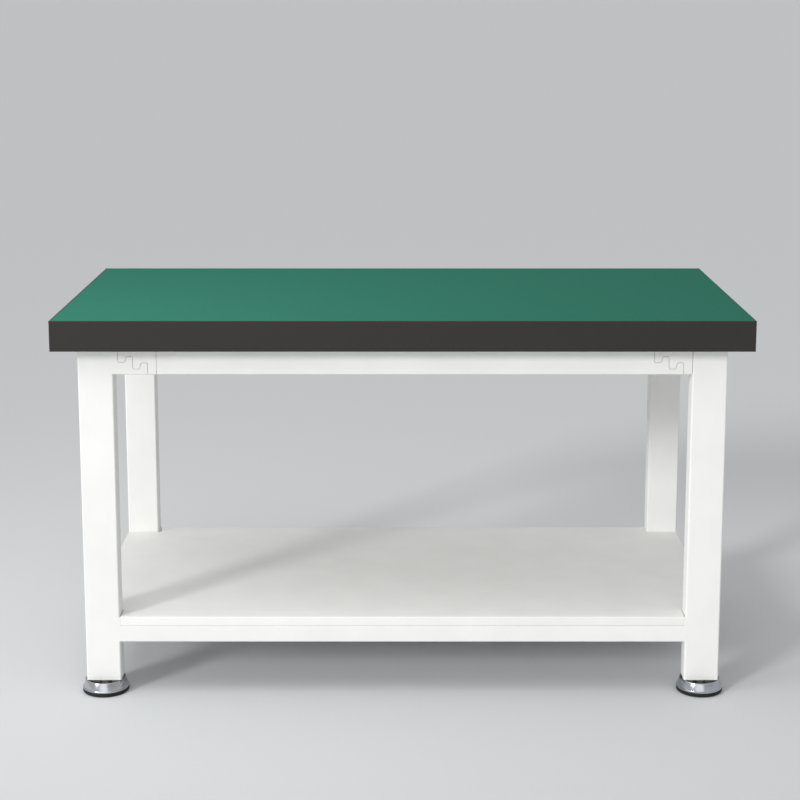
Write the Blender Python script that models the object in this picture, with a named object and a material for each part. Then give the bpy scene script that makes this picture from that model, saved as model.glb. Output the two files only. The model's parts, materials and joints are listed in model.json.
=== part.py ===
"""Anti-static workbench: a laminated worktop on a white steel frame with a lower shelf.

Metres, +Z up. X runs along the bench, -Y is the user's side and the floor is at Z = 0.
The origin is on the floor, midway between the worktop's front edge and the backs of the rear feet.
"""

import math

import bmesh
import bpy
from mathutils import Vector

# Overall size
BENCH_WIDTH = 1.500
BENCH_DEPTH = 0.750
BENCH_HEIGHT = 0.850

# Clearances
SEAT_GAP = 0.0003  # between pieces that rest on or butt against each other
THREAD_CLEARANCE = 0.0003  # round a stem, stud or screw in its hole
NOTCH_CLEARANCE = 0.0010  # between the shelf's notches and the legs
JOINT_GAP = 0.0008  # the open line between a hook and its socket, and between the left hook and the beam

# Worktop
MAT_THICKNESS = 0.0020
BOARD_THICKNESS = 0.0622
BACKING_THICKNESS = 0.0012
EDGE_BAND_THICKNESS = 0.0030
EDGE_BAND_ROUND = 0.0005

# Legs and rails
SIDE_OVERHANG = 0.049
FRONT_OVERHANG = 0.049
REAR_OVERHANG = 0.013
LEG_WIDTH = 0.0765
LEG_DEPTH = 0.048
LEG_CORNER = 0.004
TUBE_WALL = 0.002
TUBE_CORNER = 0.003
LEAST_INNER_CORNER = 0.0005
BEAM_HEIGHT = 0.060
BEAM_DEPTH = 0.040
SIDE_RAIL_DEPTH = 0.040
LOWER_RAIL_HEIGHT = 0.0375

# Toothed joints between the beams and the legs
SOCKET_LAND = 0.011  # plain stretch before the first tooth
HOOK_LAND = 0.0185  # plain stretch after the last tooth
TOOTH_COUNT = 2
TOOTH_PITCH = 0.0318
TOOTH_WIDTH = 0.0145
TOOTH_DRAFT = 0.004  # how far a tooth's slanted side leans
TOOTH_RISE = 0.014  # height of the bump between two teeth
TOOTH_STEP = 0.014  # each tooth lies this much lower than the one before
TOOTH_FLOOR = 0.0125  # metal left under the lowest tooth
TOOTH_ROUND = 0.004

# Shelf
SHELF_HEIGHT = 0.178
SHELF_LIP = 0.0205
SHELF_SHEET = 0.0015
SHELF_REAR_SETBACK = 0.009
SHELF_CABLE_CUT = 0.030  # slanted cut at the rear left corner
RIB_WIDTH = 0.040
RIB_SHEET = 0.0015
RIB_SPACING = 0.500

# Levelling feet
PAD_RADIUS = 0.051
PAD_HEIGHT = 0.009
PAD_ROUND = 0.004
CUP_FLANGE_RADIUS = 0.051
CUP_FLANGE_HEIGHT = 0.0032
CUP_BODY_RADIUS = 0.049
CUP_RIM_RADIUS = 0.045
CUP_HEIGHT = 0.0207
CUP_WALL = 0.003
CUP_RIM_CHAMFER = 0.00075
CUP_FLOOR = 0.003
CUP_LEG_GAP = 0.001
STEM_RADIUS = 0.008
STEM_HEAD_RADIUS = 0.0165
STEM_HEAD_HEIGHT = 0.0032
STEM_TIP_CHAMFER = 0.0012
COLLAR_FLATS = 0.024
FOOT_TRAVEL = 0.030
STEM_SPARE = 0.006  # stem left above the weld nut at full travel
FOOT_PLATE_THICKNESS = 0.004
WELD_NUT_FLATS = 0.024
WELD_NUT_HEIGHT = 0.013

# Worktop screws and the ground point
SCREW_RADIUS = 0.0025
SCREW_BITE = 0.030  # length of screw in the board
SCREW_TIP = 0.004
SCREW_HEAD_RADIUS = 0.006
SCREW_HEAD_HEIGHT = 0.0035
SCREW_HEAD_CHAMFER = 0.00175
SCREW_ACCESS_RADIUS = 0.008
SCREW_INSET = 0.100  # from the end of the rail that the screw goes through
GROUND_STUD_RADIUS = 0.004
GROUND_STUD_LENGTH = 0.022
GROUND_BASE_RADIUS = 0.009
GROUND_BASE_HEIGHT = 0.002
GROUND_WASHER_RADIUS = 0.0085
GROUND_WASHER_HEIGHT = 0.0016
GROUND_NUT_FLATS = 0.013
GROUND_NUT_HEIGHT = 0.0065
GROUND_INSET = 0.060  # from the rear leg

# Fineness of the round surfaces
FOOT_SEGMENTS = 40
STEM_SEGMENTS = 24
SCREW_SEGMENTS = 12
CORNER_STEPS = 3
TOOTH_ROUND_STEPS = 3
SHARP_ANGLE = math.radians(35)  # edges steeper than this stay sharp
HEXAGON = 6
CUT_MARGIN = 0.010  # how far a cutter reaches past what it cuts

# Levels and places worked out from the sizes above
WORKTOP_THICKNESS = MAT_THICKNESS + BOARD_THICKNESS + BACKING_THICKNESS + 2 * SEAT_GAP
WORKTOP_BOTTOM = BENCH_HEIGHT - WORKTOP_THICKNESS
BOARD_BOTTOM = WORKTOP_BOTTOM + BACKING_THICKNESS + SEAT_GAP
FRAME_TOP = WORKTOP_BOTTOM - SEAT_GAP
FRAME_HALF_WIDTH = BENCH_WIDTH / 2 - SIDE_OVERHANG
REAR_STAND_OUT = max(0, PAD_RADIUS - LEG_DEPTH / 2 - REAR_OVERHANG)  # rear feet past the worktop
WORKTOP_Y = -REAR_STAND_OUT / 2
FRAME_FRONT = WORKTOP_Y - BENCH_DEPTH / 2 + FRONT_OVERHANG
FRAME_REAR = WORKTOP_Y + BENCH_DEPTH / 2 - REAR_OVERHANG
LEG_INNER = FRAME_HALF_WIDTH - LEG_WIDTH
LEG_X = FRAME_HALF_WIDTH - LEG_WIDTH / 2
LEG_FRONT_Y = FRAME_FRONT + LEG_DEPTH / 2
LEG_REAR_Y = FRAME_REAR - LEG_DEPTH / 2
CUP_BOTTOM = PAD_HEIGHT + SEAT_GAP
CUP_TOP = CUP_BOTTOM + CUP_HEIGHT
LEG_BOTTOM = CUP_TOP + CUP_LEG_GAP
JOINT_LENGTH = SOCKET_LAND + TOOTH_COUNT * TOOTH_PITCH + HOOK_LAND
JOINT_OUTER = LEG_INNER - SEAT_GAP
JOINT_INNER = JOINT_OUTER - JOINT_LENGTH
BEAM_FRONT_Y = FRAME_FRONT + BEAM_DEPTH / 2
BEAM_REAR_Y = FRAME_REAR - BEAM_DEPTH / 2
SIDE_RAIL_X = FRAME_HALF_WIDTH - SIDE_RAIL_DEPTH / 2
SIDE_RAIL_START = FRAME_FRONT + LEG_DEPTH + SEAT_GAP
SIDE_RAIL_END = FRAME_REAR - LEG_DEPTH - SEAT_GAP
LOWER_RAIL_TOP = SHELF_HEIGHT - SHELF_LIP - SEAT_GAP

SIDES = {"left": -1, "right": 1}
QUARTERS = ((1, 1), (-1, 1), (-1, -1), (1, -1))
CORNERS = {
    "front_left": (-LEG_X, LEG_FRONT_Y),
    "front_right": (LEG_X, LEG_FRONT_Y),
    "rear_left": (-LEG_X, LEG_REAR_Y),
    "rear_right": (LEG_X, LEG_REAR_Y),
}
BEAMS = {"front": BEAM_FRONT_Y, "rear": BEAM_REAR_Y}


# Materials


def linear(level):
    """One sRGB level from 0 to 255 as the linear value that a shader takes."""
    share = level / 255
    if share <= 0.04045:
        return share / 12.92
    return ((share + 0.055) / 1.055) ** 2.4


def make_material(name, colour, roughness, metallic=0.0):
    material = bpy.data.materials.new(name)
    material.use_nodes = True
    shader = material.node_tree.nodes["Principled BSDF"]
    shader.inputs["Base Color"].default_value = (*map(linear, colour), 1.0)
    shader.inputs["Roughness"].default_value = roughness
    shader.inputs["Metallic"].default_value = metallic
    return material


def make_materials():
    return {
        "mat": make_material("green_static_mat", (62, 126, 107), 0.55),
        "edge": make_material("dark_edge_band", (66, 63, 60), 0.5),
        "board": make_material("pressed_board", (176, 142, 100), 0.8),
        "backing": make_material("pale_backing", (205, 204, 198), 0.6),
        "frame": make_material("white_powder_coat", (240, 240, 238), 0.4),
        "steel": make_material("zinc_steel", (168, 170, 172), 0.35, 1.0),
        "chrome": make_material("polished_chrome", (214, 214, 214), 0.08, 1.0),
        "rubber": make_material("black_rubber", (28, 28, 28), 0.75),
        "brass": make_material("plain_brass", (190, 156, 84), 0.3, 1.0),
    }


# Outlines


def rounded_rectangle(width, height, radius):
    """Corner arcs of a rectangle centred on the origin, anticlockwise."""
    points = []
    for quarter, (across, up) in enumerate(QUARTERS):
        centre = Vector((across * (width / 2 - radius), up * (height / 2 - radius)))
        for step in range(CORNER_STEPS + 1):
            angle = (quarter + step / CORNER_STEPS) * math.pi / 2
            points.append(centre + radius * Vector((math.cos(angle), math.sin(angle))))
    return points


def rectangle(width, height):
    return [Vector((across * width / 2, up * height / 2)) for across, up in QUARTERS]


def offset_path(points, distance, closed):
    """The path moved sideways, to its left for a positive distance, with its corners kept."""
    moved = []
    last = len(points) - 1
    for index, point in enumerate(points):
        ways = []
        if closed or index > 0:
            ways.append((point - points[index - 1]).normalized())
        if closed or index < last:
            ways.append((points[(index + 1) % len(points)] - point).normalized())
        normals = [Vector((-way.y, way.x)) for way in ways]
        middle = sum(normals, Vector((0, 0))).normalized()
        moved.append(point + middle * (distance / middle.dot(normals[0])))
    return moved


def round_corner(before, corner, after, radius):
    """An arc that leaves one straight stretch and joins the next."""
    way_in = (corner - before).normalized()
    way_out = (after - corner).normalized()
    turn = math.atan2(way_in.x * way_out.y - way_in.y * way_out.x, way_in.dot(way_out))
    start = corner - way_in * radius * math.tan(abs(turn) / 2)
    centre = start + Vector((-way_in.y, way_in.x)) * math.copysign(radius, turn)
    arc = []
    for step in range(TOOTH_ROUND_STEPS + 1):
        angle = turn * step / TOOTH_ROUND_STEPS
        arm = start - centre
        across = arm.x * math.cos(angle) - arm.y * math.sin(angle)
        up = arm.x * math.sin(angle) + arm.y * math.cos(angle)
        arc.append(centre + Vector((across, up)))
    return arc


def tooth_line(distance):
    """The toothed line from a beam's top edge down to its lower edge, seen from the front.

    It starts at the first tooth's straight side, and a positive distance moves it up and right.
    """
    top = BEAM_HEIGHT / 2
    corners = [Vector((0, top + CUT_MARGIN))]
    for tooth in range(TOOTH_COUNT):
        left = tooth * TOOTH_PITCH
        bottom = TOOTH_FLOOR - top + (TOOTH_COUNT - 1 - tooth) * TOOTH_STEP
        corners.append(Vector((left, bottom)))
        corners.append(Vector((left + TOOTH_WIDTH, bottom)))
        corners.append(Vector((left + TOOTH_WIDTH + TOOTH_DRAFT, bottom + TOOTH_RISE)))
        corners.append(Vector((left + TOOTH_PITCH, bottom + TOOTH_RISE)))
    corners.append(Vector((TOOTH_COUNT * TOOTH_PITCH, -top - CUT_MARGIN)))
    moved = offset_path(corners, distance, closed=False)
    line = [moved[0]]
    for before, corner, after in zip(moved, moved[1:], moved[2:]):
        way_in = corner - before
        way_out = after - corner
        turn = math.copysign(1, way_in.x * way_out.y - way_in.y * way_out.x)
        line += round_corner(before, corner, after, TOOTH_ROUND - distance * turn)
    return line + [moved[-1]]


def shelf_outline():
    """The shelf from above: a rectangle notched round the legs, anticlockwise from the front left."""
    side = FRAME_HALF_WIDTH
    arm = LEG_INNER - NOTCH_CLEARANCE
    front = FRAME_FRONT
    rear = FRAME_REAR - SHELF_REAR_SETBACK
    front_notch = FRAME_FRONT + LEG_DEPTH + NOTCH_CLEARANCE
    rear_notch = FRAME_REAR - LEG_DEPTH - NOTCH_CLEARANCE
    corners = (
        (-arm, front),
        (arm, front),
        (arm, front_notch),
        (side, front_notch),
        (side, rear_notch),
        (arm, rear_notch),
        (arm, rear),
        (SHELF_CABLE_CUT - arm, rear),
        (-arm, rear_notch),
        (-side, rear_notch),
        (-side, front_notch),
        (-arm, front_notch),
    )
    return [Vector(corner) for corner in corners]


# Meshes


def place_point(axis, across, up, along):
    """A point of an outline that is extruded along an axis, seen so that across and up keep their order."""
    if axis == "X":
        return (along, across, up)
    if axis == "Y":
        return (across, along, up)
    return (across, up, along)


def finish_mesh(work, name):
    bmesh.ops.recalc_face_normals(work, faces=work.faces)
    mesh = bpy.data.meshes.new(name)
    work.to_mesh(mesh)
    work.free()
    mesh.shade_smooth()
    mesh.set_sharp_from_angle(angle=SHARP_ANGLE)
    return mesh


def prism_mesh(name, outline, axis, low, high):
    """A solid of one outline, extruded along an axis."""
    work = bmesh.new()
    ends = []
    for along in (low, high):
        ends.append([work.verts.new(place_point(axis, *point, along)) for point in outline])
    work.faces.new(ends[0])
    work.faces.new(ends[1])
    count = len(outline)
    for index in range(count):
        after = (index + 1) % count
        work.faces.new((ends[0][index], ends[0][after], ends[1][after], ends[1][index]))
    return finish_mesh(work, name)


def tube_mesh(name, width, height, corner, wall, axis, length):
    """A rectangular tube with open ends, centred on the origin."""
    inner_corner = max(corner - wall, LEAST_INNER_CORNER)
    outer = rounded_rectangle(width, height, corner)
    inner = rounded_rectangle(width - 2 * wall, height - 2 * wall, inner_corner)
    work = bmesh.new()
    rings = []
    for outline, along in ((outer, -1), (outer, 1), (inner, 1), (inner, -1)):
        rings.append([work.verts.new(place_point(axis, *point, along * length / 2)) for point in outline])
    count = len(outer)
    for ring, other in zip(rings, rings[1:] + rings[:1]):
        for index in range(count):
            after = (index + 1) % count
            work.faces.new((ring[index], ring[after], other[after], other[index]))
    return finish_mesh(work, name)


def turned_mesh(name, profile, segments, bored=False):
    """A shape turned about Z. A profile point is (radius, height, flats), with flats 0 where it is round.

    A radius on a hexagonal ring is half the distance across its flats. A bored shape has a closed profile.
    """
    work = bmesh.new()
    rings = []
    for radius, height, flats in profile:
        if radius == 0:
            rings.append([work.verts.new((0, 0, height))] * segments)
            continue
        ring = []
        for index in range(segments):
            angle = 2 * math.pi * index / segments
            reach = radius
            if flats:
                sector = 2 * math.pi / flats
                reach = radius / math.cos(angle % sector - sector / 2)
            ring.append(work.verts.new((reach * math.cos(angle), reach * math.sin(angle), height)))
        rings.append(ring)
    pairs = list(zip(rings, rings[1:]))
    if bored:
        pairs.append((rings[-1], rings[0]))
    for ring, other in pairs:
        for index in range(segments):
            after = (index + 1) % segments
            corners = (ring[index], ring[after], other[after], other[index])
            work.faces.new(dict.fromkeys(corners))
    return finish_mesh(work, name)


# Objects


def add_object(name, mesh, material, location, parent=None):
    piece = bpy.data.objects.new(name, mesh)
    piece.data.materials.append(material)
    piece.location = location
    piece.parent = parent
    bpy.context.scene.collection.objects.link(piece)
    return piece


def add_empty(name, location):
    empty = bpy.data.objects.new(name, None)
    empty.location = location
    bpy.context.scene.collection.objects.link(empty)
    return empty


def add_cutter(name, mesh, location):
    """A helper that only shapes other pieces."""
    cutter = bpy.data.objects.new(name, mesh)
    cutter.location = location
    cutter.hide_render = True
    cutter.display_type = "WIRE"
    bpy.context.scene.collection.objects.link(cutter)
    return cutter


def combine(piece, other, operation):
    modifier = piece.modifiers.new(other.name, "BOOLEAN")
    modifier.operation = operation
    modifier.solver = "EXACT"
    modifier.object = other


# Worktop


def screw_places():
    """Where the screws go up through the beams and side rails into the board, by name."""
    places = {}
    beam_reach = JOINT_INNER - SCREW_INSET
    rail_ends = {"front": SIDE_RAIL_START + SCREW_INSET, "rear": SIDE_RAIL_END - SCREW_INSET}
    for side, sign in SIDES.items():
        for end in BEAMS:
            places[f"{end}_beam_screw_{side}"] = (sign * beam_reach, BEAMS[end])
            places[f"{side}_rail_screw_{end}"] = (sign * SIDE_RAIL_X, rail_ends[end])
    return places


def build_screw_cutters():
    """For each screw a pilot hole up into the board and an access hole below its head."""
    head_seat = FRAME_TOP - TUBE_WALL - SEAT_GAP
    pilot_radius = SCREW_RADIUS + THREAD_CLEARANCE
    pilot_end = BOARD_BOTTOM + SCREW_BITE + SEAT_GAP
    rail_bottom = FRAME_TOP - BEAM_HEIGHT
    pilot = (
        (0, head_seat, 0),
        (pilot_radius, head_seat, 0),
        (pilot_radius, pilot_end, 0),
        (0, pilot_end, 0),
    )
    access = (
        (0, rail_bottom - CUT_MARGIN, 0),
        (SCREW_ACCESS_RADIUS, rail_bottom - CUT_MARGIN, 0),
        (SCREW_ACCESS_RADIUS, rail_bottom + 2 * TUBE_WALL, 0),
        (0, rail_bottom + 2 * TUBE_WALL, 0),
    )
    cutters = {}
    for name, (x, y) in screw_places().items():
        cutters[name] = tuple(
            add_cutter(f"{name}_{use}", turned_mesh(f"{name}_{use}", profile, SCREW_SEGMENTS), (x, y, 0))
            for use, profile in (("pilot", pilot), ("access", access))
        )
    return cutters


def build_worktop(materials, bench, cutters):
    inner_width = BENCH_WIDTH - 2 * (EDGE_BAND_THICKNESS + SEAT_GAP)
    inner_depth = BENCH_DEPTH - 2 * (EDGE_BAND_THICKNESS + SEAT_GAP)
    field = rectangle(inner_width, inner_depth)
    layers = (
        ("worktop_backing", BACKING_THICKNESS, WORKTOP_BOTTOM, "backing"),
        ("worktop_board", BOARD_THICKNESS, BOARD_BOTTOM, "board"),
        ("green_mat", MAT_THICKNESS, BENCH_HEIGHT - MAT_THICKNESS, "mat"),
    )
    for name, thickness, bottom, material in layers:
        mesh = prism_mesh(name, field, "Z", 0, thickness)
        layer = add_object(name, mesh, materials[material], (0, WORKTOP_Y, bottom), bench)
        if name != "green_mat":
            for pilot, _ in cutters.values():
                combine(layer, pilot, "DIFFERENCE")
    strip = rounded_rectangle(EDGE_BAND_THICKNESS, WORKTOP_THICKNESS, EDGE_BAND_ROUND)
    middle = WORKTOP_BOTTOM + WORKTOP_THICKNESS / 2
    for end, sign in (("front", -1), ("rear", 1)):
        name = f"edge_band_{end}"
        mesh = prism_mesh(name, strip, "X", -BENCH_WIDTH / 2, BENCH_WIDTH / 2)
        place = (0, WORKTOP_Y + sign * (BENCH_DEPTH - EDGE_BAND_THICKNESS) / 2, middle)
        add_object(name, mesh, materials["edge"], place, bench)
    for side, sign in SIDES.items():
        name = f"edge_band_{side}"
        mesh = prism_mesh(name, strip, "Y", -inner_depth / 2, inner_depth / 2)
        place = (sign * (BENCH_WIDTH - EDGE_BAND_THICKNESS) / 2, WORKTOP_Y, middle)
        add_object(name, mesh, materials["edge"], place, bench)


def build_worktop_screws(materials, bench):
    """Pan-head screws whose heads sit inside the rails, under the top wall."""
    head_top = FRAME_TOP - TUBE_WALL - SEAT_GAP
    tip = BOARD_BOTTOM + SCREW_BITE - head_top
    profile = (
        (0, -SCREW_HEAD_HEIGHT, 0),
        (SCREW_HEAD_RADIUS - SCREW_HEAD_CHAMFER, -SCREW_HEAD_HEIGHT, 0),
        (SCREW_HEAD_RADIUS, SCREW_HEAD_CHAMFER - SCREW_HEAD_HEIGHT, 0),
        (SCREW_HEAD_RADIUS, 0, 0),
        (SCREW_RADIUS, 0, 0),
        (SCREW_RADIUS, tip - SCREW_TIP, 0),
        (0, tip, 0),
    )
    for name, (x, y) in screw_places().items():
        mesh = turned_mesh(name, profile, SCREW_SEGMENTS)
        add_object(name, mesh, materials["steel"], (x, y, head_top), bench)


# Frame


def build_legs(materials, bench):
    length = FRAME_TOP - LEG_BOTTOM
    for corner, (x, y) in CORNERS.items():
        name = f"leg_{corner}"
        mesh = tube_mesh(name, LEG_WIDTH, LEG_DEPTH, LEG_CORNER, TUBE_WALL, "Z", length)
        add_object(name, mesh, materials["frame"], (x, y, LEG_BOTTOM + length / 2), bench)


def build_joint_cuts():
    """What is cut away beside the toothed line, from the socket's piece and from the hook's piece."""
    reach = JOINT_LENGTH + CUT_MARGIN
    half_depth = BEAM_DEPTH / 2 + CUT_MARGIN
    cuts = {}
    for kind, towards in (("socket", 1), ("hook", -1)):
        line = tooth_line(-towards * JOINT_GAP / 2)
        outline = line + [Vector((towards * reach, line[-1].y)), Vector((towards * reach, line[0].y))]
        cuts[kind] = prism_mesh(f"{kind}_cut", outline, "Y", -half_depth, half_depth)
    return cuts


def build_beams(materials, bench, cutters):
    """Beams whose right ends are cut as sockets, with the other pieces of their toothed joints.

    Both joints of a beam face the same way: a socket on the left leg takes the hook on the beam's
    left end, and a hook on the right leg sits in the beam's right end.
    """
    cuts = build_joint_cuts()
    middle = FRAME_TOP - BEAM_HEIGHT / 2
    left_joint = (-JOINT_OUTER, -JOINT_INNER)
    right_joint = (JOINT_INNER, JOINT_OUTER)
    pieces = (
        ("beam", (JOINT_GAP - JOINT_INNER, JOINT_OUTER), right_joint, "socket"),
        ("left_socket", left_joint, left_joint, "socket"),
        ("left_hook", left_joint, left_joint, "hook"),
        ("right_hook", right_joint, right_joint, "hook"),
    )
    for end, y in BEAMS.items():
        for kind, (start, stop), joint, cut in pieces:
            name = f"{end}_{kind}"
            mesh = tube_mesh(name, BEAM_DEPTH, BEAM_HEIGHT, TUBE_CORNER, TUBE_WALL, "X", stop - start)
            piece = add_object(name, mesh, materials["frame"], ((start + stop) / 2, y, middle), bench)
            tooth_start = (joint[0] + SOCKET_LAND, y, middle)
            combine(piece, add_cutter(f"{name}_cut", cuts[cut], tooth_start), "DIFFERENCE")
        beam = bpy.data.objects[f"{end}_beam"]
        for side in SIDES:
            for cutter in cutters[f"{end}_beam_screw_{side}"]:
                combine(beam, cutter, "DIFFERENCE")


def build_side_rails(materials, bench, cutters):
    length = SIDE_RAIL_END - SIDE_RAIL_START
    y = (SIDE_RAIL_START + SIDE_RAIL_END) / 2
    for side, sign in SIDES.items():
        for level, height, top in (
            ("upper", BEAM_HEIGHT, FRAME_TOP),
            ("lower", LOWER_RAIL_HEIGHT, LOWER_RAIL_TOP),
        ):
            name = f"{level}_rail_{side}"
            mesh = tube_mesh(name, SIDE_RAIL_DEPTH, height, TUBE_CORNER, TUBE_WALL, "Y", length)
            place = (sign * SIDE_RAIL_X, y, top - height / 2)
            rail = add_object(name, mesh, materials["frame"], place, bench)
            if level == "upper":
                for end in BEAMS:
                    for cutter in cutters[f"{side}_rail_screw_{end}"]:
                        combine(rail, cutter, "DIFFERENCE")


def build_lower_beams(materials, bench):
    length = 2 * (LEG_INNER - SEAT_GAP)
    for end, y in BEAMS.items():
        name = f"lower_rail_{end}"
        mesh = tube_mesh(name, BEAM_DEPTH, LOWER_RAIL_HEIGHT, TUBE_CORNER, TUBE_WALL, "X", length)
        add_object(name, mesh, materials["frame"], (0, y, LOWER_RAIL_TOP - LOWER_RAIL_HEIGHT / 2), bench)


# Shelf


def build_shelf(materials, bench):
    outline = shelf_outline()
    panel_mesh = prism_mesh("shelf_panel", outline, "Z", -SHELF_LIP, 0)
    panel = add_object("shelf_panel", panel_mesh, materials["frame"], (0, 0, SHELF_HEIGHT), bench)
    pocket = offset_path(outline, SHELF_SHEET, closed=True)
    pocket_mesh = prism_mesh("shelf_pocket", pocket, "Z", -SHELF_LIP - CUT_MARGIN, -SHELF_SHEET)
    combine(panel, add_cutter("shelf_pocket", pocket_mesh, (0, 0, SHELF_HEIGHT)), "DIFFERENCE")


def build_shelf_ribs(materials, bench):
    """Channels under the shelf, which stand on the front and rear rails."""
    height = SHELF_LIP - SHELF_SHEET - SEAT_GAP
    half = RIB_WIDTH / 2
    channel = (
        (-half, 0),
        (RIB_SHEET - half, 0),
        (RIB_SHEET - half, height - RIB_SHEET),
        (half - RIB_SHEET, height - RIB_SHEET),
        (half - RIB_SHEET, 0),
        (half, 0),
        (half, height),
        (-half, height),
    )
    outline = [Vector(corner) for corner in channel]
    start = FRAME_FRONT + SHELF_SHEET + SEAT_GAP
    end = FRAME_REAR - SHELF_REAR_SETBACK - SHELF_SHEET - SEAT_GAP
    for side, sign in SIDES.items():
        name = f"shelf_rib_{side}"
        mesh = prism_mesh(name, outline, "Y", start, end)
        place = (sign * RIB_SPACING / 2, 0, SHELF_HEIGHT - SHELF_LIP)
        add_object(name, mesh, materials["frame"], place, bench)


# Levelling feet


def pad_profile():
    arc = []
    for step in range(CORNER_STEPS + 1):
        angle = step / CORNER_STEPS * math.pi / 2
        radius = PAD_RADIUS - PAD_ROUND * (1 - math.sin(angle))
        arc.append((radius, PAD_ROUND * (1 - math.cos(angle)), 0))
    return [(0, 0, 0), *arc, (PAD_RADIUS, PAD_HEIGHT, 0), (0, PAD_HEIGHT, 0)]


def cup_profile():
    """An open dish with a foot flange; the stem's head turns in a recess under its floor."""
    bore = STEM_RADIUS + THREAD_CLEARANCE
    recess = STEM_HEAD_RADIUS + THREAD_CLEARANCE
    floor_bottom = CUP_BOTTOM + STEM_HEAD_HEIGHT + SEAT_GAP
    floor_top = floor_bottom + CUP_FLOOR
    flange_top = CUP_BOTTOM + CUP_FLANGE_HEIGHT
    points = (
        (bore, floor_bottom),
        (recess, floor_bottom),
        (recess, CUP_BOTTOM),
        (CUP_FLANGE_RADIUS, CUP_BOTTOM),
        (CUP_FLANGE_RADIUS, flange_top),
        (CUP_BODY_RADIUS, flange_top),
        (CUP_RIM_RADIUS, CUP_TOP - CUP_RIM_CHAMFER),
        (CUP_RIM_RADIUS - CUP_RIM_CHAMFER, CUP_TOP),
        (CUP_RIM_RADIUS - CUP_WALL + CUP_RIM_CHAMFER, CUP_TOP),
        (CUP_RIM_RADIUS - CUP_WALL, CUP_TOP - CUP_RIM_CHAMFER),
        (CUP_RIM_RADIUS - CUP_WALL, floor_top),
        (bore, floor_top),
    )
    return [(radius, height, 0) for radius, height in points]


def stem_profile():
    """A head in the cup, a hexagonal collar that stops against the leg, and a threaded shank."""
    head_top = CUP_BOTTOM + STEM_HEAD_HEIGHT
    collar_bottom = head_top + SEAT_GAP + CUP_FLOOR + SEAT_GAP
    collar_top = LEG_BOTTOM - SEAT_GAP
    top = LEG_BOTTOM + FOOT_PLATE_THICKNESS + WELD_NUT_HEIGHT + FOOT_TRAVEL + STEM_SPARE
    return [
        (0, CUP_BOTTOM, 0),
        (STEM_HEAD_RADIUS, CUP_BOTTOM, 0),
        (STEM_HEAD_RADIUS, head_top, 0),
        (STEM_RADIUS, head_top, 0),
        (STEM_RADIUS, collar_bottom, 0),
        (COLLAR_FLATS / 2, collar_bottom, HEXAGON),
        (COLLAR_FLATS / 2, collar_top, HEXAGON),
        (STEM_RADIUS, collar_top, 0),
        (STEM_RADIUS, top - STEM_TIP_CHAMFER, 0),
        (STEM_RADIUS - STEM_TIP_CHAMFER, top, 0),
        (0, top, 0),
    ]


def build_feet(materials):
    """Each foot hangs on an empty that stands on its stem's axis."""
    for corner, (x, y) in CORNERS.items():
        foot = add_empty(f"foot_{corner}", (x, y, 0))
        pad = turned_mesh(f"foot_pad_{corner}", pad_profile(), FOOT_SEGMENTS)
        cup = turned_mesh(f"foot_cup_{corner}", cup_profile(), FOOT_SEGMENTS, bored=True)
        stem = turned_mesh(f"foot_stem_{corner}", stem_profile(), STEM_SEGMENTS)
        add_object(pad.name, pad, materials["rubber"], (0, 0, 0), foot)
        add_object(cup.name, cup, materials["chrome"], (0, 0, 0), foot)
        add_object(stem.name, stem, materials["steel"], (0, 0, 0), foot)


def build_foot_plates(materials, bench):
    """A plate that closes each leg, with the weld nut that the foot's stem screws into."""
    inset = 2 * (TUBE_WALL + SEAT_GAP)
    inner_corner = LEG_CORNER - TUBE_WALL
    outline = rounded_rectangle(LEG_WIDTH - inset, LEG_DEPTH - inset, inner_corner)
    nut_top = FOOT_PLATE_THICKNESS + WELD_NUT_HEIGHT
    bore = STEM_RADIUS + THREAD_CLEARANCE
    nut = (
        (0, FOOT_PLATE_THICKNESS / 2, 0),
        (WELD_NUT_FLATS / 2, FOOT_PLATE_THICKNESS / 2, HEXAGON),
        (WELD_NUT_FLATS / 2, nut_top, HEXAGON),
        (0, nut_top, 0),
    )
    hole = (
        (0, -CUT_MARGIN, 0),
        (bore, -CUT_MARGIN, 0),
        (bore, nut_top + CUT_MARGIN, 0),
        (0, nut_top + CUT_MARGIN, 0),
    )
    for corner, (x, y) in CORNERS.items():
        name = f"foot_plate_{corner}"
        place = (x, y, LEG_BOTTOM)
        plate_mesh = prism_mesh(name, outline, "Z", 0, FOOT_PLATE_THICKNESS)
        plate = add_object(name, plate_mesh, materials["steel"], place, bench)
        nut_mesh = turned_mesh(f"{name}_nut", nut, STEM_SEGMENTS)
        hole_mesh = turned_mesh(f"{name}_hole", hole, STEM_SEGMENTS)
        combine(plate, add_cutter(nut_mesh.name, nut_mesh, place), "UNION")
        combine(plate, add_cutter(hole_mesh.name, hole_mesh, place), "DIFFERENCE")


# Ground point


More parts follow.
